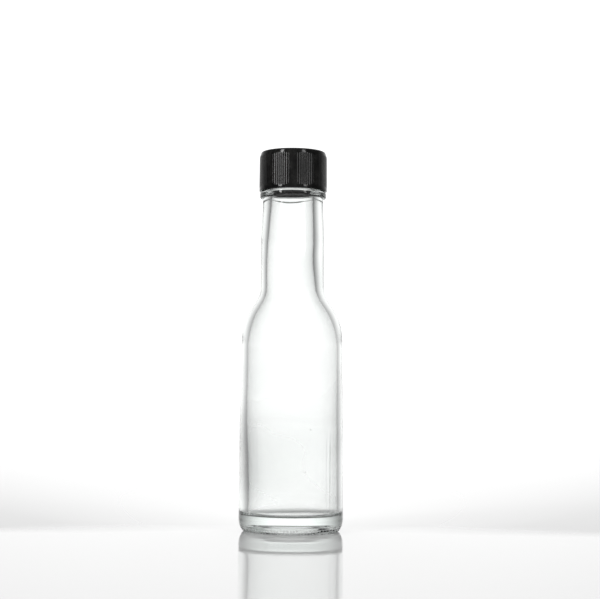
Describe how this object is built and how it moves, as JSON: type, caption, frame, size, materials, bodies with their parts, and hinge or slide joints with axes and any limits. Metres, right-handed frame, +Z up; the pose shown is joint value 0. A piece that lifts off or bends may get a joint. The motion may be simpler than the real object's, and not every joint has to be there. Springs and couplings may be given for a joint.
{
  "type": "glass sauce bottle",
  "caption": "Small round clear glass sauce bottle, empty, with a slim neck, a glass ring below the mouth, a thick base and a ribbed black screw cap.",
  "frame": {"origin": "centre of the base, on the surface that the bottle stands on", "axes": "+Z up along the bottle's axis, towards the cap; +X and +Y are alike, as the bottle is round"},
  "size_m": [0.0466, 0.0466, 0.1701],
  "materials": {
    "clear_glass": "clear moulded glass with a gently uneven inner wall",
    "black_plastic": "black moulded plastic, semi-matt, with fine upright ribs"
  },
  "bodies": {
    "root": {"glass_bottle": "clear_glass", "screw_cap": "black_plastic"}
  },
  "joints": []
}
